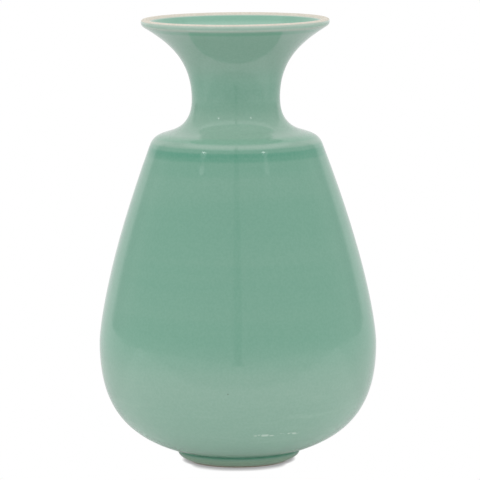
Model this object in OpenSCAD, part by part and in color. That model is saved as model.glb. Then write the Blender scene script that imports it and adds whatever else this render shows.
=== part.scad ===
// Celadon sake bottle: a round-bellied stoneware bottle with a tall sloping wall, a small
// rounded shoulder, a waisted neck and a trumpet mouth with a rolled lip.
// Every solid is turned about the vertical axis. Lengths are in millimetres, angles in
// degrees. The table is z = 0 and the bottle's axis is x = y = 0.

/* [Overall] */
// Height from the table to the top of the lip
height = 220; // [205:1:235]

/* [Foot] */
// Outer diameter of the foot ring, at its top
foot_d = 61.2; // [56:0.2:66]
// Height of the foot ring
foot_h = 5.6; // [5.2:0.1:8]
// Outer diameter of the flat face that touches the table
stand_d = 49; // [48:0.5:52]
// Diameter of the well inside the foot ring
well_d = 43; // [36:0.5:44]

/* [Body] */
// Widest diameter of the belly
belly_d = 137.6; // [126:0.2:148]
// Height of the widest line
belly_z = 59; // [52:0.5:64]
// Angle above the horizontal at which the body leaves the foot
under_angle = 17; // [8:0.5:20]
// Pull of the underside's curve outward from the foot
under_pull = 29; // [24:0.1:34]
// Pull of the belly's curve downward from the widest line
belly_fall = 29; // [18:0.1:30]
// Pull of the belly's curve upward from the widest line
belly_rise = 4; // [2:0.5:20]

/* [Shoulder] */
// Diameter at the top of the sloping wall
shoulder_d = 86; // [80:0.2:90]
// Height at the top of the sloping wall
shoulder_z = 157.2; // [152:0.2:159]
// Lean of the wall at its top, in from the vertical
wall_lean = 20.5; // [16:0.5:25]
// Pull of the wall's curve downward from its top
wall_pull = 68; // [50:1:75]
// Diameter of the ring where the neck joins the shoulder
crown_d = 65.4; // [62:0.2:70]
// Height of the ring where the neck joins the shoulder
crown_z = 164.6; // [163:0.1:168]
// Slope of the shoulder at that ring, above the horizontal
crown_slope = 17; // [12:0.5:25]
// Pull of the shoulder's rounded corner from both its ends
corner_pull = 5.6; // [3:0.1:6.5]

/* [Neck] */
// Diameter of the neck's waist
neck_d = 43.8; // [38:0.2:50]
// Height of the neck's waist
neck_z = 180.5; // [177:0.5:185]
// Pull of the neck's lower curve inward from the shoulder
neck_spread = 8.3; // [6:0.1:10]
// Pull of the neck's lower curve downward from the waist
neck_fall = 7.7; // [5:0.1:10]
// Pull of the trumpet's curve upward from the waist
flare_rise = 19; // [14:0.2:22]
// Angle of the trumpet's wall above the horizontal, just under the lip
flare_angle = 31.5; // [26:0.5:40]
// Pull of the trumpet's curve back from the lip
flare_pull = 14.3; // [8:0.1:18]

/* [Lip] */
// Outside diameter of the rolled lip
lip_d = 93.2; // [88:0.2:98]
// Height of the rolled lip, from its lower edge to its top
lip_h = 4.2; // [3.4:0.1:4.4]
// How far the roll stands out past the trumpet's wall
lip_proud = 1.7; // [1.4:0.1:2.2]
// Diameter of the mouth, at the lip's inner edge
mouth_d = 84.8; // [80:0.2:85]

/* [Clay walls] */
// Height of the floor inside, at its centre
floor_z = 10.4; // [9.6:0.1:13]
// Wall above the foot, with its glaze
heel_wall = 8.5; // [7:0.1:10]
// Wall at the belly, with its glaze
belly_wall = 5.4; // [4:0.1:7]
// Wall at the shoulder, with its glaze
shoulder_wall = 5; // [4:0.1:6]
// Wall at the neck's waist, with its glaze
neck_wall = 4.6; // [3.6:0.1:6]

/* [Glaze] */
// Thickness of the outer glaze on the plain wall
glaze_t = 0.5; // [0.45:0.05:0.8]
// Thickness of the glaze inside the bottle and under the foot
liner_t = 0.4; // [0.3:0.05:0.6]
// Extra thickness where the outer glaze has pooled
pool_t = 0.35; // [0:0.05:0.5]
// Thickness that the outer glaze has lost along the shoulder's edge
thin_t = 0.28; // [0:0.02:0.28]

/* [Luted joints] */
// Thickness of the fired slip in each joint
slip_t = 0.4; // [0.25:0.05:0.45]
// Height of the tongue in each joint
tongue_h = 1.6; // [0.8:0.1:2]

/* [Hidden] */

CLAY = "#b9ab92";
SLIP = "#a5977f";
CELADON = "#8fb8a2";
LINER = "#a4c6b2";

// Facets of each turned solid
TURN_FN = 180;
// Steps along a long curve and along a short one
LONG = 18;
SHORT = 6;

// Foot: slope and pull of its curve at the table, and its pull from the upright top
toe_angle = 30;
toe_pull = 3;
side_pull = 3.4;
// Share of the foot's curve that stays bare, and of the lip's top curve that is glazed
foot_bare = 0.2;
lip_glazed = 0.35;
// Share of the roll's curve that the glazed ridge takes up
ridge_part = 0.3;
// Well: height of its bare clay band, corner radius and edge chamfer
well_bare = 1.2;
well_round = 1.5;
well_chamfer = 0.6;

// Lip: ridge under the roll, the roll's fullest line and the fall of its inner edge
ridge_out = 0.7;
ridge_up = 0.5;
roll_drop = 1.6;
top_in = 1.9;
mouth_drop = 1.2;

// Centres of the glaze's pools and its thin line, and how far each one spreads
heel_pool = [foot_h, 1.6];
shoulder_pool = [shoulder_z - 2, 2.8];
shoulder_thin = [shoulder_z + 3, 1.6];
lip_pool = [height - lip_h, 0.7];

// Points that the outline passes through, as [radius, height]
STAND = [stand_d / 2, 0];
FOOT = [foot_d / 2, foot_h];
BELLY = [belly_d / 2, belly_z];
SHOULDER = [shoulder_d / 2, shoulder_z];
CROWN = [crown_d / 2, crown_z];
NECK = [neck_d / 2, neck_z];
LIP = [lip_d / 2 - lip_proud, height - lip_h];
RIDGE = LIP + [ridge_out, ridge_up];
ROLL = [lip_d / 2, height - roll_drop];
TOP = [lip_d / 2 - top_in, height];
MOUTH = [mouth_d / 2, height - mouth_drop];
FLOOR = [0, floor_z];

// ---- Curves: four control points each, drawn upward ----

function heading(angle) = [cos(angle), sin(angle)];

// From point a, leaving at angle_a, to point b, arriving at angle_b
function curve(a, angle_a, pull_a, b, angle_b, pull_b) =
    [a, a + pull_a * heading(angle_a), b - pull_b * heading(angle_b), b];

// Point at share t of a curve
function at(c, t) =
    pow(1 - t, 3) * c[0] + 3 * pow(1 - t, 2) * t * c[1] + 3 * (1 - t) * t * t * c[2] + pow(t, 3) * c[3];

// Unit vector to the left of a curve at share t
function left(c, t) =
    let (v = pow(1 - t, 2) * (c[1] - c[0]) + 2 * (1 - t) * t * (c[2] - c[1]) + t * t * (c[3] - c[2]))
    [-v.y, v.x] / norm(v);

// The inside face behind an outside curve, with a wall of wall_a at its start and wall_b at its end
function inside(c, wall_a, wall_b) =
    let (
        a = c[0] + wall_a * left(c, 0),
        b = c[3] + wall_b * left(c, 1),
        scale = norm(b - a) / norm(c[3] - c[0])
    )
    [a, a + scale * (c[1] - c[0]), b - scale * (c[3] - c[2]), b];

foot_side = curve(STAND, toe_angle, toe_pull, FOOT, 90, side_pull);
underside = curve(FOOT, under_angle, under_pull, BELLY, 90, belly_fall);
wall = curve(BELLY, 90, belly_rise, SHOULDER, 90 + wall_lean, wall_pull);
corner = curve(SHOULDER, 90 + wall_lean, corner_pull, CROWN, 180 - crown_slope, corner_pull);
fillet = curve(CROWN, 180 - crown_slope, neck_spread, NECK, 90, neck_fall);
flare = curve(NECK, 90, flare_rise, LIP, flare_angle, flare_pull);
ridge = curve(LIP, 0, 0.3, RIDGE, 90, 0.3);
roll = curve(RIDGE, 45, 0.8, ROLL, 90, 1.2);
lip_top = curve(ROLL, 90, 0.9, TOP, 180, 1.1);

underside_in = inside(underside, heel_wall, belly_wall);
floor_in = curve(FLOOR, 0, foot_d / 6, underside_in[0], under_angle, foot_d / 6);
wall_in = inside(wall, belly_wall, shoulder_wall);
corner_in = inside(corner, shoulder_wall, shoulder_wall);
fillet_in = inside(fillet, shoulder_wall, neck_wall);
flare_in = curve(fillet_in[3], 90, flare_rise, MOUTH, flare_angle, flare_pull);
mouth_edge = curve(MOUTH, flare_angle, 0.7, TOP, 0, 0.8);

// ---- Surfaces: lists of points along a curve, from share a to share b ----

// The surface that is seen
function seen(c, steps, a = 0, b = 1) = [for (i = [0 : steps]) at(c, a + (b - a) * i / steps)];

// How much a pool or a thin line adds at height z: place is [its height, its spread]
function bump(z, place, amount) = amount * exp(-pow((z - place[0]) / place[1], 2));

// Thickness of the outer glaze at height z
function glaze_at(z) =
    glaze_t
    + bump(z, heel_pool, pool_t / 2)
    + bump(z, shoulder_pool, pool_t)
    - bump(z, shoulder_thin, thin_t)
    + bump(z, lip_pool, pool_t / 2)
    - max(0, min(1, z - LIP.y)) * glaze_t / 2;

// The clay under the outer glaze
function under_glaze(c, steps, a = 0, b = 1) = [
    for (i = [0 : steps])
        let (t = a + (b - a) * i / steps, p = at(c, t))
        p + glaze_at(p.y) * left(c, t)
];

// The clay behind the inner glaze
function under_liner(c, steps) = [
    for (i = [0 : steps])
        at(c, i / steps) - liner_t * left(c, i / steps)
];

function reversed(list) = [for (i = [len(list) - 1 : -1 : 0]) list[i]];
function rest(list) = [for (i = [1 : len(list) - 1]) list[i]];
function last(list) = list[len(list) - 1];

// Upper face of the piece below a joint, from its outer point a to its inner point b:
// a tongue stands up along the wall on the middle third
function tongue(a, b, up) = [
    a, a + (b - a) / 3, a + (b - a) / 3 + up * tongue_h,
    b - (b - a) / 3 + up * tongue_h, b - (b - a) / 3, b
];

// Lower face of the piece above a joint: a groove that clears the tongue by the slip
function groove(a, b, up) =
    let (gap = up * slip_t, side = slip_t * (b - a) / norm(b - a))
    [
        a + gap, a + (b - a) / 3 - side + gap, a + (b - a) / 3 - side + up * tongue_h + gap,
        b - (b - a) / 3 + side + up * tongue_h + gap, b - (b - a) / 3 + side + gap, b + gap
    ];

// ---- Clay surfaces of the four clay pieces, outside and inside, bottom to top ----

foot_out = under_glaze(foot_side, SHORT, foot_bare, 1);
foot_up = [0, 1];
foot_joint_out = last(foot_out);
foot_joint_in = [well_d / 2 + liner_t, foot_h];

lower_out = under_glaze(underside, LONG);
lower_in = concat(under_liner(floor_in, SHORT), rest(under_liner(underside_in, LONG)));
belly_up = [0, 1];
belly_out = last(lower_out);
belly_in = last(lower_in);

upper_out = concat(
    [belly_out + slip_t * belly_up],
    rest(under_glaze(wall, LONG)),
    rest(under_glaze(corner, LONG))
);
upper_in = concat(
    [belly_in + slip_t * belly_up],
    rest(under_liner(wall_in, LONG)),
    rest(under_liner(corner_in, LONG))
);
crown_up = heading(180 - crown_slope);
crown_out = last(upper_out);
crown_in = last(upper_in);

// Under the lip the clay runs straight on to the roll, and the small ridge there is glaze
neck_out = concat(
    [crown_out + slip_t * crown_up],
    rest(under_glaze(fillet, LONG)),
    rest(under_glaze(flare, LONG)),
    under_glaze(roll, SHORT, ridge_part, 1),
    rest(under_glaze(lip_top, SHORT, 0, lip_glazed))
);
neck_in = concat(
    [crown_in + slip_t * crown_up],
    rest(under_liner(fillet_in, LONG)),
    rest(under_liner(flare_in, LONG))
);

// Height of the floor's underside, above the slip that joins the foot ring
floor_under = foot_h + slip_t;

module turned(outline) {
    rotate_extrude($fn = TURN_FN)
        polygon(outline);
}

// ---- Clay ----

module foot_ring() {
    color(CLAY)
        turned(concat(
            [[well_d / 2 + well_chamfer, 0]],
            seen(foot_side, SHORT, 0, foot_bare),
            foot_out,
            rest(tongue(foot_joint_out, foot_joint_in, foot_up)),
            [[well_d / 2 + liner_t, well_bare], [well_d / 2, well_bare], [well_d / 2, well_chamfer]]
        ));
}

module lower_body() {
    color(CLAY)
        turned(concat(
            [[0, floor_under]],
            reversed(groove(foot_joint_out, foot_joint_in, foot_up)),
            lower_out,
            rest(tongue(belly_out, belly_in, belly_up)),
            rest(reversed(lower_in))
        ));
}

module upper_body() {
    color(CLAY)
        turned(concat(
            reversed(groove(belly_out, belly_in, belly_up)),
            rest(upper_out),
            rest(tongue(crown_out, crown_in, crown_up)),
            reversed(rest(upper_in))
        ));
}

module neck() {
    color(CLAY)
        turned(concat(
            reversed(groove(crown_out, crown_in, crown_up)),
            rest(neck_out),
            seen(lip_top, SHORT, lip_glazed, 1),
            rest(reversed(seen(mouth_edge, SHORT))),
            reversed(rest(neck_in))
        ));
}

// ---- Slip that joins the clay pieces ----

module lute(a, b, up) {
    color(SLIP)
        turned(concat(tongue(a, b, up), reversed(groove(a, b, up))));
}

module foot_lute() {
    lute(foot_joint_out, foot_joint_in, foot_up);
}

module belly_lute() {
    lute(belly_out, belly_in, belly_up);
}

module neck_lute() {
    lute(crown_out, crown_in, crown_up);
}

// ---- Glaze ----

module outer_glaze() {
    color(CELADON)
        turned(concat(
            seen(foot_side, SHORT, foot_bare, 1),
            rest(seen(underside, LONG)),
            rest(seen(wall, LONG)),
            rest(seen(corner, LONG)),
            rest(seen(fillet, LONG)),
            rest(seen(flare, LONG)),
            rest(seen(ridge, SHORT)),
            rest(seen(roll, SHORT)),
            rest(seen(lip_top, SHORT, 0, lip_glazed)),
            reversed(neck_out),
            reversed(upper_out),
            reversed(lower_out),
            [foot_joint_out + slip_t * foot_up],
            reversed(foot_out)
        ));
}

module inner_glaze() {
    color(LINER)
        turned(concat(
            seen(floor_in, SHORT),
            rest(seen(underside_in, LONG)),
            rest(seen(wall_in, LONG)),
            rest(seen(corner_in, LONG)),
            rest(seen(fillet_in, LONG)),
            rest(seen(flare_in, LONG)),
            reversed(neck_in),
            reversed(upper_in),
            reversed(lower_in)
        ));
}

module base_glaze() {
    ceiling = floor_under - liner_t;
    color(LINER)
        turned(concat(
            [[0, floor_under], [well_d / 2 + liner_t, floor_under]],
            [[well_d / 2 + liner_t, well_bare], [well_d / 2, well_bare]],
            [
                for (angle = [0 : 15 : 90])
                    [well_d / 2 - well_round, ceiling - well_round] + well_round * heading(angle)
            ],
            [[0, ceiling]]
        ));
}

foot_ring();
foot_lute();
lower_body();
belly_lute();
upper_body();
neck_lute();
neck();
outer_glaze();
inner_glaze();
base_glaze();
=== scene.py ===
"""Celadon bottle: the pieces that show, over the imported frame, with their glazes, the light and the camera.

Everything is in metres and in the frame's own axes: the bottle stands on z = 0 and turns about Z.
"""
import math

import bpy
import numpy as np
from mathutils import Euler, Matrix, Vector


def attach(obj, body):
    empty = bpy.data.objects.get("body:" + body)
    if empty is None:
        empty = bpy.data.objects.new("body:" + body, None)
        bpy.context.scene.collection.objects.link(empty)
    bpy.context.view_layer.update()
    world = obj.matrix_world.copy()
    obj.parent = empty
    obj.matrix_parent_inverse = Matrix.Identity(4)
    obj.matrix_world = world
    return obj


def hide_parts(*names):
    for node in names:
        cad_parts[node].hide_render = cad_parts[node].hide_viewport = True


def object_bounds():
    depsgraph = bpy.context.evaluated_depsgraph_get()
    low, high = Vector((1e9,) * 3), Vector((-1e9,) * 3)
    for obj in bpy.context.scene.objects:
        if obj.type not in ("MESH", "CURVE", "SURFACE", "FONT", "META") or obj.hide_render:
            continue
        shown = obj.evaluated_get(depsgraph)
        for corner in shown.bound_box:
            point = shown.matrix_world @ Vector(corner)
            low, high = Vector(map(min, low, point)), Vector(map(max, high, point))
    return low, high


MM = 0.001
HAIR = 2e-7                   # how far a vertex may be from the section plane and still be in it

# Meshes
TURNS = 224                   # segments round the axis
EXPOSED_STEP = 1.0 * MM       # spacing of the rings on a coat's outside
BARE_STEP = 0.3 * MM          # spacing of the rings on bare clay
CORNER = math.radians(24)     # a sharper bend than this in an outline stays a corner
STRAIGHT = 25                 # a span this many times as long as the one beside it is straight
TOUCHING = 0.02 * MM          # an outline this close to another node's is hidden against it
SHARP = math.radians(40)      # an edge between faces that meet at more than this is drawn sharp
MARKS = [(2.6 * MM, 0.10), (7 * MM, 0.2), (40 * MM, 0.7)]     # turning marks: wavelength and weight
MARK_WAVES = 4                # waves of about each length, which together look irregular
MARK_DEPTH = 0.3              # how much of the glaze's thickness they take
FULL_MARKS = 0.2 * MM         # glaze thinner than this takes shallower marks

# Camera
CAMERA_AWAY = 2.0155          # from the point it looks at
CAMERA_UP = math.radians(7.11)
CAMERA_LENS = 305.0
CAMERA_ROLL = math.radians(-0.48)
AIM_RIGHT = 1.46 * MM         # the bottle is a little left of the middle of the picture

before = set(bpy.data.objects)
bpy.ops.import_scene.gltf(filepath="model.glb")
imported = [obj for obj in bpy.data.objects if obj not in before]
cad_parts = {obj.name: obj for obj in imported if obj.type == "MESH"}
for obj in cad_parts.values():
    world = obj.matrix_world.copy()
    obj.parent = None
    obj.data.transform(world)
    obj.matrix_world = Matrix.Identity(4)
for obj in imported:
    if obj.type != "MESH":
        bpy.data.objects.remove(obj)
cad_low, cad_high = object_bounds()


# ---------------------------------------------------------------- outlines of the frame's nodes

def outline(node):
    """The node's section in the half plane x > 0, as an array of (radius, height) in order round the clay."""
    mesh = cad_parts[node].data
    flat = {v.index: (round(v.co.x, 7), round(v.co.z, 7)) for v in mesh.vertices
            if abs(v.co.y) < HAIR and v.co.x > -HAIR}
    beside = {}
    for edge in mesh.edges:
        a, b = (flat.get(i) for i in edge.vertices)
        if a and b and a != b:
            beside.setdefault(a, set()).add(b)
            beside.setdefault(b, set()).add(a)
    ends = sorted(p for p in beside if len(beside[p]) == 1)
    here = ends[0] if ends else min(beside)
    path, before = [here], None
    while True:
        onward = sorted(p for p in beside[here] if p != before and p not in path)
        if not onward:
            break
        before, here = here, onward[0]
        path.append(here)
    if ends:                                   # a disc: its flat faces reach the axis
        path = [(0.0, path[0][1])] + path + [(0.0, path[-1][1])]
        path = [p for i, p in enumerate(path) if i == 0 or p != path[i - 1]]
    points = np.array(path)
    r, z = points.T
    if np.sum(r * np.roll(z, -1) - np.roll(r, -1) * z) < 0:
        points = points[::-1]
    return points


def gap(points, line, closed):
    """Distance from each point to a polyline."""
    a = line if closed else line[:-1]
    b = np.roll(line, -1, axis=0) if closed else line[1:]
    along = b - a
    size = np.maximum(np.sum(along ** 2, axis=1), 1e-18)
    rel = points[:, None, :] - a[None]
    t = np.clip(np.sum(rel * along[None], axis=2) / size, 0, 1)
    return np.sqrt(np.sum((rel - t[..., None] * along[None]) ** 2, axis=2)).min(axis=1)


OUTLINES = {node: outline(node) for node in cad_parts}


def runs(node):
    """The outline cut at its corners and where it starts or stops being hidden: (points, hidden) in order."""
    ring = OUTLINES[node]
    middle = (ring + np.roll(ring, -1, axis=0)) / 2
    others = [OUTLINES[n] for n in OUTLINES if n != node]
    near = np.min([gap(middle, line, True) for line in others], axis=0)
    on_axis = (ring[:, 0] < HAIR) & (np.roll(ring[:, 0], -1) < HAIR)
    hidden = (near < TOUCHING) | on_axis
    heading = np.roll(ring, -1, axis=0) - ring
    angle = np.arctan2(heading[:, 1], heading[:, 0])
    turn = np.abs((angle - np.roll(angle, 1) + math.pi) % (2 * math.pi) - math.pi)
    cut = [i for i in range(len(ring)) if turn[i] > CORNER or hidden[i] != hidden[i - 1]]
    pieces = []
    for i, start in enumerate(cut):
        stop = cut[(i + 1) % len(cut)]
        index = [(start + k) % len(ring) for k in range((stop - start) % len(ring) + 1)]
        if not (on_axis[start] and len(index) == 2):
            pieces.append((ring[index], bool(hidden[start])))
    return pieces


def eased(points):
    """The points, with one more near each end of a straight span, so that its neighbours do not bend it."""
    span = np.hypot(*np.diff(points, axis=0).T)
    kept = [points[0]]
    for i, (a, b) in enumerate(zip(points[:-1], points[1:])):
        if i > 0 and span[i] > STRAIGHT * span[i - 1]:
            kept.append(a + (b - a) * span[i - 1] / span[i])
        if i + 1 < len(span) and span[i] > STRAIGHT * span[i + 1]:
            kept.append(b - (b - a) * span[i + 1] / span[i])
        kept.append(b)
    return np.array(kept)


def smooth(points, step):
    """A curve through the points, by their arc length, sampled about every step."""
    points = eased(points)
    length = np.concatenate([[0], np.cumsum(np.hypot(*np.diff(points, axis=0).T))])
    count = max(1, round(length[-1] / step))
    if len(points) < 4:
        at = np.linspace(0, length[-1], count + 1)
        return np.stack([np.interp(at, length, points[:, k]) for k in (0, 1)], axis=1)
    slope = np.gradient(points, length, axis=0, edge_order=2)
    at = np.linspace(0, length[-1], count + 1)
    seg = np.clip(np.searchsorted(length, at, side="right") - 1, 0, len(points) - 2)
    h = length[seg + 1] - length[seg]
    t = ((at - length[seg]) / h)[:, None]
    h = h[:, None]
    return ((2 * t ** 3 - 3 * t ** 2 + 1) * points[seg] + (t ** 3 - 2 * t ** 2 + t) * h * slope[seg]
            + (3 * t ** 2 - 2 * t ** 3) * points[seg + 1] + (t ** 3 - t ** 2) * h * slope[seg + 1])


# ---------------------------------------------------------------- spinning an outline into a piece

def waves(along, around, seed, shares):
    """Turning marks as the potter's fingers leave them: shares is a list of (wavelength in m, weight)."""
    rng = np.random.default_rng(seed)
    total = np.zeros((len(along), len(around)))
    for length, weight in shares:
        for _ in range(MARK_WAVES):
            own = length * rng.uniform(0.75, 1.35)
            climb = rng.integers(-1, 2)                      # the marks run in a slight spiral
            drift = 0.35 * np.sin(around * rng.integers(1, 4) + rng.uniform(0, 7))
            phase = rng.uniform(0, 2 * math.pi)
            turned = climb * around[None] + drift[None] + phase
            total += weight / MARK_WAVES * np.sin(2 * math.pi * along[:, None] / own + turned)
    return total


def spin(name, node, step, mark_depth, seed):
    """A closed piece on the node's outline. mark_depth: the share of the coat that the turning marks take."""
    around = np.linspace(0, 2 * math.pi, TURNS, endpoint=False)
    points, bare = [], []
    cover = [smooth(part, EXPOSED_STEP) for part, hidden in runs(node) if hidden]
    for part, hidden in runs(node):
        line = part if hidden else smooth(part, step)
        points += list(line[:-1])
        bare += [not hidden] * (len(line) - 1)
        last = line[-1]
    if last[0] < HAIR or points[0][0] < HAIR:                # a disc: the outline ends on the axis
        points.append(last)
        bare.append(bare[-1])
    points, bare = np.array(points), np.array(bare)

    thick = np.min([gap(points, line, False) for line in cover], axis=0)
    along = np.concatenate([[0], np.cumsum(np.hypot(*np.diff(points, axis=0).T))])
    ahead, back = np.roll(points, -1, axis=0), np.roll(points, 1, axis=0)
    tangent = ahead - back
    tangent /= np.maximum(np.hypot(*tangent.T), 1e-12)[:, None]
    outward = np.stack([tangent[:, 1], -tangent[:, 0]], axis=1)

    field = waves(along, around, seed, MARKS)
    share = mark_depth * np.clip(0.5 + 0.5 * field, 0, 1) * bare[:, None]
    depth = share * thick[:, None] * np.clip(thick[:, None] / FULL_MARKS, 0, 1)
    r = points[:, 0][:, None] - outward[:, 0][:, None] * depth
    z = np.clip(points[:, 1][:, None] - outward[:, 1][:, None] * depth, cad_low.z, cad_high.z)
    coat = thick[:, None] - depth

    verts, faces, coats, rows = [], [], [], []
    for i in range(len(points)):
        if points[i, 0] < HAIR:
            rows.append([len(verts)] * TURNS)
            verts.append((0.0, 0.0, float(z[i, 0])))
            coats.append(float(coat[i, 0]))
        else:
            rows.append(list(range(len(verts), len(verts) + TURNS)))
            verts += zip((r[i] * np.cos(around)).tolist(), (r[i] * np.sin(around)).tolist(), z[i].tolist())
            coats += coat[i].tolist()
    on_axis = points[:, 0] < HAIR
    for i in range(len(points)):
        k = (i + 1) % len(points)
        if on_axis[i] and on_axis[k]:
            continue
        for j in range(TURNS):
            m = (j + 1) % TURNS
            quad = (rows[i][j], rows[i][m], rows[k][m], rows[k][j])
            faces.append(tuple(dict.fromkeys(quad)))
    mesh = bpy.data.meshes.new(name)
    mesh.from_pydata(verts, [], faces)
    mesh.update()
    attribute = mesh.attributes.new("coat", "FLOAT", "POINT")
    attribute.data.foreach_set("value", np.array(coats, np.float32) / MM)
    mesh.shade_smooth()
    mesh.set_sharp_from_angle(angle=SHARP)
    piece = bpy.data.objects.new(name, mesh)
    bpy.context.scene.collection.objects.link(piece)
    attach(piece, "root")
    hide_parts(node)
    return piece


coat = spin("celadon_coat", "outer_glaze", EXPOSED_STEP, MARK_DEPTH, 11)
liner = spin("lining_coat", "inner_glaze", EXPOSED_STEP, MARK_DEPTH, 12)
neck = spin("neck_clay", "neck", BARE_STEP, 0.0, 13)
foot = spin("foot_clay", "foot_ring", BARE_STEP, 0.0, 14)
well = spin("well_coat", "base_glaze", EXPOSED_STEP, MARK_DEPTH, 15)


# ---------------------------------------------------------------- materials

class Nodes:
    """Shorthand for building a node tree."""

    def __init__(self, tree):
        self.tree = tree

    def add(self, kind, **values):
        node = self.tree.nodes.new(kind)
        for key, value in values.items():
            if hasattr(node, key):
                setattr(node, key, value)
            else:
                self.plug(node.inputs[key], value)
        return node

    def plug(self, socket, value):
        if isinstance(value, bpy.types.NodeSocket):
            self.tree.links.new(value, socket)
        else:
            socket.default_value = value

    def math(self, operation, *values):
        node = self.tree.nodes.new("ShaderNodeMath")
        node.operation = operation
        for socket, value in zip(node.inputs, values):
            self.plug(socket, value)
        return node.outputs[0]

    def ramp(self, value, low, high, to_low=0.0, to_high=1.0, kind="SMOOTHSTEP"):
        node = self.tree.nodes.new("ShaderNodeMapRange")
        node.interpolation_type = kind
        for name, v in (("Value", value), ("From Min", low), ("From Max", high),
                        ("To Min", to_low), ("To Max", to_high)):
            self.plug(node.inputs[name], v)
        return node.outputs[0]

    def mix(self, share, a, b):
        node = self.tree.nodes.new("ShaderNodeMix")
        node.data_type = "RGBA"
        self.plug(node.inputs[0], share)
        self.plug(node.inputs[6], a)
        self.plug(node.inputs[7], b)
        return node.outputs[2]

    def noise(self, place, scale, detail=3.0, rough=0.5, stretch=None):
        if stretch:
            place = self.scaled(place, stretch)
        node = self.tree.nodes.new("ShaderNodeTexNoise")
        for name, v in (("Vector", place), ("Scale", scale), ("Detail", detail), ("Roughness", rough)):
            self.plug(node.inputs[name], v)
        return node.outputs["Fac"]

    def scaled(self, place, by):
        node = self.tree.nodes.new("ShaderNodeMapping")
        self.plug(node.inputs["Vector"], place)
        node.inputs["Scale"].default_value = by
        return node.outputs[0]


def srgb(r, g, b):
    """A colour given as it looks on screen, 0 to 255, as the linear colour that Blender takes."""
    def channel(v):
        v /= 255
        return v / 12.92 if v <= 0.04045 else ((v + 0.055) / 1.055) ** 2.4
    return (channel(r), channel(g), channel(b), 1.0)


def new_material(name):
    material = bpy.data.materials.new(name)
    material.use_nodes = True
    tree = material.node_tree
    tree.nodes.clear()
    n = Nodes(tree)
    shader = n.add("ShaderNodeBsdfPrincipled")
    out = n.add("ShaderNodeOutputMaterial")
    tree.links.new(shader.outputs[0], out.inputs["Surface"])
    place = n.add("ShaderNodeTexCoord").outputs["Object"]
    return material, n, shader, place


def band_colours(n, height, colour, bands):
    """The colour with each band's shade laid over it in turn; glaze() says what a band is."""
    for shade, share, fade_in, full_from, full_to, fade_out in bands:
        rising = n.ramp(height, fade_in, full_from, 0.0, share)
        colour = n.mix(n.math("MULTIPLY", rising, n.ramp(height, fade_out, full_to)), colour, shade)
    return colour


THIN_AT, FULL_AT, POOL_AT = 0.15, 0.56, 0.85      # mm of coat: palest, past its plain shade, deepest
SPECK_CELLS = 40              # per metre: one speck at most in each 25 mm cell
SPECK = (0.05, 0.09, 0.06, 1.0)
# pale dashes low on the front of the belly: their colour, and their window across and up
PALE_DASH = (0.62, 0.72, 0.66, 1.0)
PALE_DASH_X = (0.006, 0.010, 0.026, 0.031)            # fades in from, full from, full to, fades out at
PALE_DASH_Z = (0.0206, 0.0211, 0.0217, 0.0222)
STREAKS_END, STREAKS_FULL = 0.055, 0.025          # heights: streaks show only near the foot
MOTTLE = 0.025                # share of the fine mottling in the glaze's colour
GLAZE_IOR = 1.5


def glaze(name, body, thin, pooled, under, over, body_at=0.45, pale_dashed=False):
    """Celadon: paler where the coat is thin, deeper where it pools, and of another shade in bands of height.

    Bands lie under or over the shades of thickness. Each is (colour, share, height it fades in from,
    full from, full to, fades out at).
    """
    material, n, shader, place = new_material(name)
    coat_mm = n.add("ShaderNodeAttribute", attribute_name="coat").outputs["Fac"]
    height = n.add("ShaderNodeSeparateXYZ", Vector=place).outputs["Z"]
    colour = band_colours(n, height, body, under)
    colour = n.mix(n.ramp(coat_mm, THIN_AT, body_at), thin, colour)
    colour = n.mix(n.ramp(coat_mm, FULL_AT, POOL_AT), colour, pooled)
    colour = band_colours(n, height, colour, over)
    streaks = n.noise(place, 60, 5, 0.6, (0.4, 0.4, 3.0))
    below = n.ramp(height, STREAKS_END, STREAKS_FULL)
    colour = n.mix(n.math("MULTIPLY", n.ramp(streaks, 0.5, 0.75, 0.0, 0.35), below), colour, thin)
    cells = n.add("ShaderNodeTexVoronoi", Vector=place, Scale=SPECK_CELLS)
    chance = n.add("ShaderNodeSeparateColor", Color=cells.outputs["Color"]).outputs["Red"]
    dot = n.ramp(cells.outputs["Distance"], 0.024, 0.012)
    speck = n.math("MULTIPLY", dot, n.math("GREATER_THAN", chance, 0.6))
    colour = n.mix(n.math("MULTIPLY", speck, 0.55), colour, SPECK)
    if pale_dashed:                                              # a row of pale dashes low on the front
        spot = n.add("ShaderNodeSeparateXYZ", Vector=place).outputs
        sideways, upward = (
            n.math("MULTIPLY", n.ramp(at, fade_in, full_from), n.ramp(at, fade_out, full_to))
            for at, (fade_in, full_from, full_to, fade_out) in ((spot["X"], PALE_DASH_X), (height, PALE_DASH_Z)))
        window = n.math("MULTIPLY", sideways, n.math("LESS_THAN", spot["Y"], 0.0))
        window = n.math("MULTIPLY", window, upward)
        dashes = n.ramp(n.noise(place, 420, 2, 0.5, (1.0, 1.0, 2.0)), 0.50, 0.56, 0.0, 0.55)
        colour = n.mix(n.math("MULTIPLY", dashes, window), colour, PALE_DASH)
    mottle = n.noise(place, 900, 3, 0.6)
    colour = n.mix(MOTTLE, colour, n.mix(n.ramp(mottle, 0.35, 0.65), srgb(60, 120, 95), srgb(220, 232, 224)))
    n.plug(shader.inputs["Base Color"], colour)
    n.plug(shader.inputs["Roughness"], n.ramp(n.noise(place, 45, 3), 0.3, 0.7, 0.025, 0.05))
    shader.inputs["IOR"].default_value = GLAZE_IOR
    return material


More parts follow.
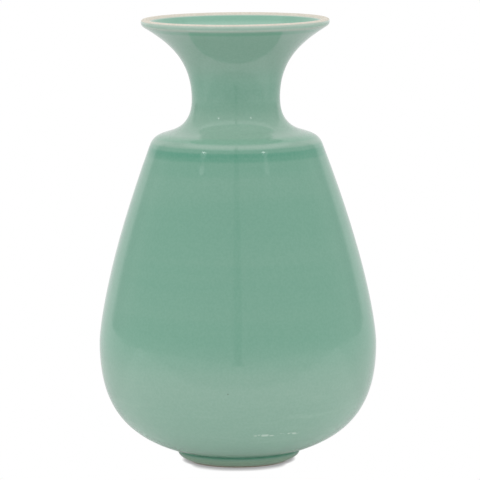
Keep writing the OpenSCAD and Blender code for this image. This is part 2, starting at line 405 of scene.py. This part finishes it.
def clay(name, dark, light, scale=700, rough=0.72):
    """Bare clay: one fine grain in its colour, roughness and relief."""
    material, n, shader, place = new_material(name)
    grain = n.noise(place, scale, 5, 0.62)
    colour = n.mix(n.ramp(grain, 0.36, 0.64), dark, light)
    n.plug(shader.inputs["Base Color"], colour)
    n.plug(shader.inputs["Roughness"], n.ramp(grain, 0.3, 0.7, rough - 0.08, rough + 0.08))
    bump = n.add("ShaderNodeBump", Strength=0.25, Distance=0.0002, Height=grain)
    n.plug(shader.inputs["Normal"], bump.outputs[0])
    return material


GREY = srgb(132, 167, 150)
SEAM = srgb(68, 134, 108)
celadon = glaze("celadon", srgb(119, 165, 145), srgb(151, 181, 165), srgb(76, 147, 123), under=[
    (GREY, 1.0, -0.001, 0.0, 0.040, 0.070),                          # belly
    # shoulder and neck's foot: painted light on the upward-facing top, together with thinner, paler glaze
    (srgb(146, 181, 163), 1.0, 0.160, 0.163, 0.166, 0.185),          # shoulder and neck's foot
    (GREY, 1.0, 0.188, 0.200, 0.221, 0.222),                         # trumpet
], over=[
    (srgb(150, 174, 152), 0.8, -0.001, 0.0, 0.0035, 0.0048),         # foot ring
    (SEAM, 0.85, 0.0046, 0.0054, 0.0058, 0.0068),                    # seam over the foot
    # deeper green where the glaze pools under the shoulder's edge, darkened further by painted shade
    (srgb(84, 150, 126), 0.45, 0.1522, 0.1540, 0.1566, 0.1580),      # pool under the shoulder's edge
    # the darker green line where the neck joins the shoulder is a painted reflection
    (srgb(104, 166, 138), 0.3, 0.1612, 0.1620, 0.1630, 0.1642),      # crease where the neck joins
    (srgb(104, 160, 136), 0.6, 0.2138, 0.2148, 0.2152, 0.2160),      # pool under the roll
    (srgb(178, 186, 175), 0.55, 0.2159, 0.2165, 0.2169, 0.2177),     # ridge of the roll
    (srgb(204, 215, 204), 0.6, 0.2178, 0.2192, 0.2198, 0.2200),      # roll next to the bare clay
], pale_dashed=True)
lining = glaze("lining", srgb(119, 171, 149), srgb(170, 196, 182), srgb(96, 154, 130), under=[], over=[
    # paler inside under the mouth's edge: painted light near the mouth, along with thinner glaze
    (srgb(150, 190, 172), 0.9, 0.205, 0.210, 0.2145, 0.2170),        # under the mouth's edge
], body_at=0.3)
stoneware = clay("stoneware", srgb(212, 204, 190), srgb(220, 214, 201))
foot_stoneware = clay("foot_stoneware", srgb(150, 140, 122), srgb(182, 172, 154))
slip = clay("slip", srgb(188, 180, 166), srgb(206, 200, 188), 420, 0.8)

PAINT = {
    "celadon_glaze": (celadon, [coat]),
    "liner_glaze": (lining, [liner, well]),
    "stoneware": (stoneware, [neck]),
}
for slot, (material, pieces) in PAINT.items():
    for piece in pieces:
        piece.data.materials.append(material)
foot.data.materials.append(foot_stoneware)
for node in ("lower_body", "upper_body"):
    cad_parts[node].data.materials.clear()
    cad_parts[node].data.materials.append(stoneware)
for node in ("foot_lute", "belly_lute", "neck_lute"):
    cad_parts[node].data.materials.clear()
    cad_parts[node].data.materials.append(slip)


# ---------------------------------------------------------------- floor, light and camera

FLOOR_HALF = 3.0
FLOOR_FRONT = 0.55            # the table's front edge, which the glaze mirrors
SHADOW_BESIDE = 1.9 * MM      # how far the contact shadow reaches beside the foot
SHADOW_IN_FRONT = 6.8 * MM    # and in front of it
DARKEST_SHADOW = 0.38
TABLE_GLOW = 0.12
mesh = bpy.data.meshes.new("floor")
mesh.from_pydata([(-FLOOR_HALF, -FLOOR_FRONT, 0), (FLOOR_HALF, -FLOOR_FRONT, 0),
                  (FLOOR_HALF, FLOOR_HALF, 0), (-FLOOR_HALF, FLOOR_HALF, 0)], [], [(0, 1, 2, 3)])
floor = bpy.data.objects.new("floor", mesh)
floor.location.z = cad_low.z
bpy.context.scene.collection.objects.link(floor)
material = bpy.data.materials.new("floor")
material.use_nodes = True
material.node_tree.nodes.clear()
n = Nodes(material.node_tree)
spot = n.add("ShaderNodeTexCoord").outputs["Object"]
on_floor = n.add("ShaderNodeSeparateXYZ", Vector=spot).outputs
distance = n.add("ShaderNodeVectorMath", operation="LENGTH", Vector=spot).outputs["Value"]

# To the camera: white, with a soft contact shadow that is wider in front of the foot than beside it
to_front = n.math("DIVIDE", on_floor["Y"], distance)
shadow = n.ramp(to_front, -0.5, -1.0, SHADOW_BESIDE, SHADOW_IN_FRONT)
openness = n.add("ShaderNodeAmbientOcclusion", samples=16, Distance=shadow).outputs["AO"]
seen = n.add("ShaderNodeEmission", Strength=n.ramp(openness, 0.25, 1.0, DARKEST_SHADOW, 1.0, "LINEAR"))

# To the bottle: a table that is dimmer behind, dimmer past a line in front, and fades out at its front edge,
# where something dark stands straight ahead
behind = n.ramp(on_floor["Y"], -0.03, 0.06, 1.0, 0.68)
left_side = n.ramp(on_floor["X"], -0.35, -0.1, 1.1, 1.0)
in_front = n.math("MULTIPLY", n.ramp(on_floor["Y"], -0.172, -0.16, 0.70, 1.0),
                  n.ramp(on_floor["Y"], -FLOOR_FRONT, -0.34, 0.7, 1.0))
straight_ahead = n.math("MULTIPLY", n.ramp(n.math("ABSOLUTE", on_floor["X"]), 0.028, 0.042, 0.9, 0.0),
                        n.ramp(on_floor["Y"], -0.37, -0.385))
lit = n.math("MULTIPLY", n.math("MULTIPLY", behind, left_side), in_front)
lit = n.math("MULTIPLY", lit, n.math("SUBTRACT", 1.0, straight_ahead))
table = n.add("ShaderNodeBsdfDiffuse", Color=n.mix(lit, (0, 0, 0, 1), (0.95, 0.95, 0.95, 1)))
glow = n.add("ShaderNodeEmission", Strength=n.math("MULTIPLY", lit, TABLE_GLOW))
bounce = n.add("ShaderNodeAddShader")
n.tree.links.new(table.outputs[0], bounce.inputs[0])
n.tree.links.new(glow.outputs[0], bounce.inputs[1])
both = n.add("ShaderNodeMixShader", Fac=n.add("ShaderNodeLightPath").outputs["Is Camera Ray"])
n.tree.links.new(bounce.outputs[0], both.inputs[1])
n.tree.links.new(seen.outputs[0], both.inputs[2])
n.add("ShaderNodeOutputMaterial", Surface=both.outputs[0])
mesh.materials.append(material)

# Two small soft lamps on the camera's side, each with a brighter core, in degrees: turn from straight
# ahead of the bottle, height above level, half width; then the strength
LAMPS = [(-48, 34, 4, 1.0), (-49, 36, 2, 6.0), (42, 34.5, 4, 0.8), (41, 36.5, 2, 5.0)]
ROOM = 0.3                    # what the glaze mirrors where the studio is dark
SOFT_LIGHT = 0.85             # the even light from all round

world = bpy.data.worlds.new("studio")
bpy.context.scene.world = world
world.use_nodes = True
world.node_tree.nodes.clear()
world.cycles.sampling_method = "NONE"
n = Nodes(world.node_tree)
way = n.add("ShaderNodeTexCoord").outputs["Generated"]
x, y, z = n.add("ShaderNodeSeparateXYZ", Vector=way).outputs
level_part = n.math("SQRT", n.math("ADD", n.math("MULTIPLY", x, x), n.math("MULTIPLY", y, y)))
level_part = n.math("MAXIMUM", level_part, 1e-4)
back = n.math("DIVIDE", y, level_part)           # -1 towards the camera, 1 behind the bottle
side = n.math("DIVIDE", x, level_part)
aslant = n.math("ABSOLUTE", side)

# What the glaze mirrors: a backdrop between two dark flags, a light overhead, the room's floor and its
# sides, a dark stand straight ahead, and the lamps
backdrop = n.math("ADD", n.ramp(back, -0.1, 0.6, 0.0, 0.20), n.ramp(back, 0.64, 0.74, 0.0, 0.36))
flags = n.math("MULTIPLY", n.ramp(back, 0.36, 0.52, 0.0, 0.3), n.ramp(back, 0.70, 0.60))
flags = n.math("MULTIPLY", flags, n.ramp(z, 0.6, 0.4))
overhead = n.ramp(z, 0.66, 0.81, 0.0, 0.9)
below = n.math("ADD", n.ramp(z, 0.11, 0.05, 0.0, 0.14), n.ramp(z, 0.05, -0.26, 0.0, 0.20))
aside = n.math("MULTIPLY", n.ramp(aslant, 0.3, 0.9, 0.0, 0.5), n.ramp(z, 0.05, -0.12))
white = n.math("MAXIMUM", n.math("MAXIMUM", backdrop, overhead), n.math("ADD", below, aside))
lamps = 0.0
for turn, up, half, strength in LAMPS:
    turn, up, half = math.radians(turn), math.radians(up), math.radians(half)
    toward = (math.cos(up) * math.sin(turn), -math.cos(up) * math.cos(turn), math.sin(up))
    facing = n.add("ShaderNodeVectorMath", operation="DOT_PRODUCT", Vector=way)
    facing.inputs[1].default_value = toward
    disc = n.ramp(facing.outputs["Value"], math.cos(half * 1.15), math.cos(half * 0.85), 0.0, strength)
    lamps = n.math("ADD", lamps, disc)
stand = n.math("MULTIPLY", n.ramp(aslant, 0.045, 0.075, 1.0, 0.0), n.math("LESS_THAN", back, 0.0))
stand = n.math("MULTIPLY", stand, n.ramp(z, -0.3, -0.1, 0.3, 1.0))
mirrored = n.math("MULTIPLY", n.math("ADD", ROOM, white), n.math("SUBTRACT", 1.0, stand))
mirrored = n.math("MULTIPLY", mirrored, n.math("SUBTRACT", 1.0, flags))
mirrored = n.math("ADD", mirrored, lamps)

# The soft light on everything, and plain white behind the bottle
ring_light = n.math("MULTIPLY", n.ramp(z, 0.15, 0.45), n.ramp(z, 0.95, 0.7))
dome = n.math("ADD", SOFT_LIGHT, n.math("MULTIPLY", ring_light, 0.45))
dome = n.math("ADD", dome, n.math("MULTIPLY", x, -0.03))
path = n.add("ShaderNodeLightPath")
strength = n.ramp(path.outputs["Is Glossy Ray"], 0, 1, dome, mirrored, "LINEAR")
strength = n.ramp(path.outputs["Is Camera Ray"], 0, 1, strength, 1.0, "LINEAR")
light = n.add("ShaderNodeBackground", Color=(1, 1, 1, 1), Strength=strength)
n.add("ShaderNodeOutputWorld", Surface=light.outputs[0])

middle = (cad_low + cad_high) / 2
aim = Vector((AIM_RIGHT, 0, middle.z))
camera = bpy.data.objects.new("camera", bpy.data.cameras.new("camera"))
bpy.context.scene.collection.objects.link(camera)
camera.location = aim + CAMERA_AWAY * Vector((0, -math.cos(CAMERA_UP), math.sin(CAMERA_UP)))
level = Euler((math.pi / 2 - CAMERA_UP, 0, 0)).to_matrix()
camera.rotation_euler = (level @ Matrix.Rotation(CAMERA_ROLL, 3, "Z")).to_euler()
camera.data.lens = CAMERA_LENS
camera.data.clip_start = 0.1
camera.data.clip_end = 50
bpy.context.scene.camera = camera
bpy.context.scene.view_settings.view_transform = "Standard"
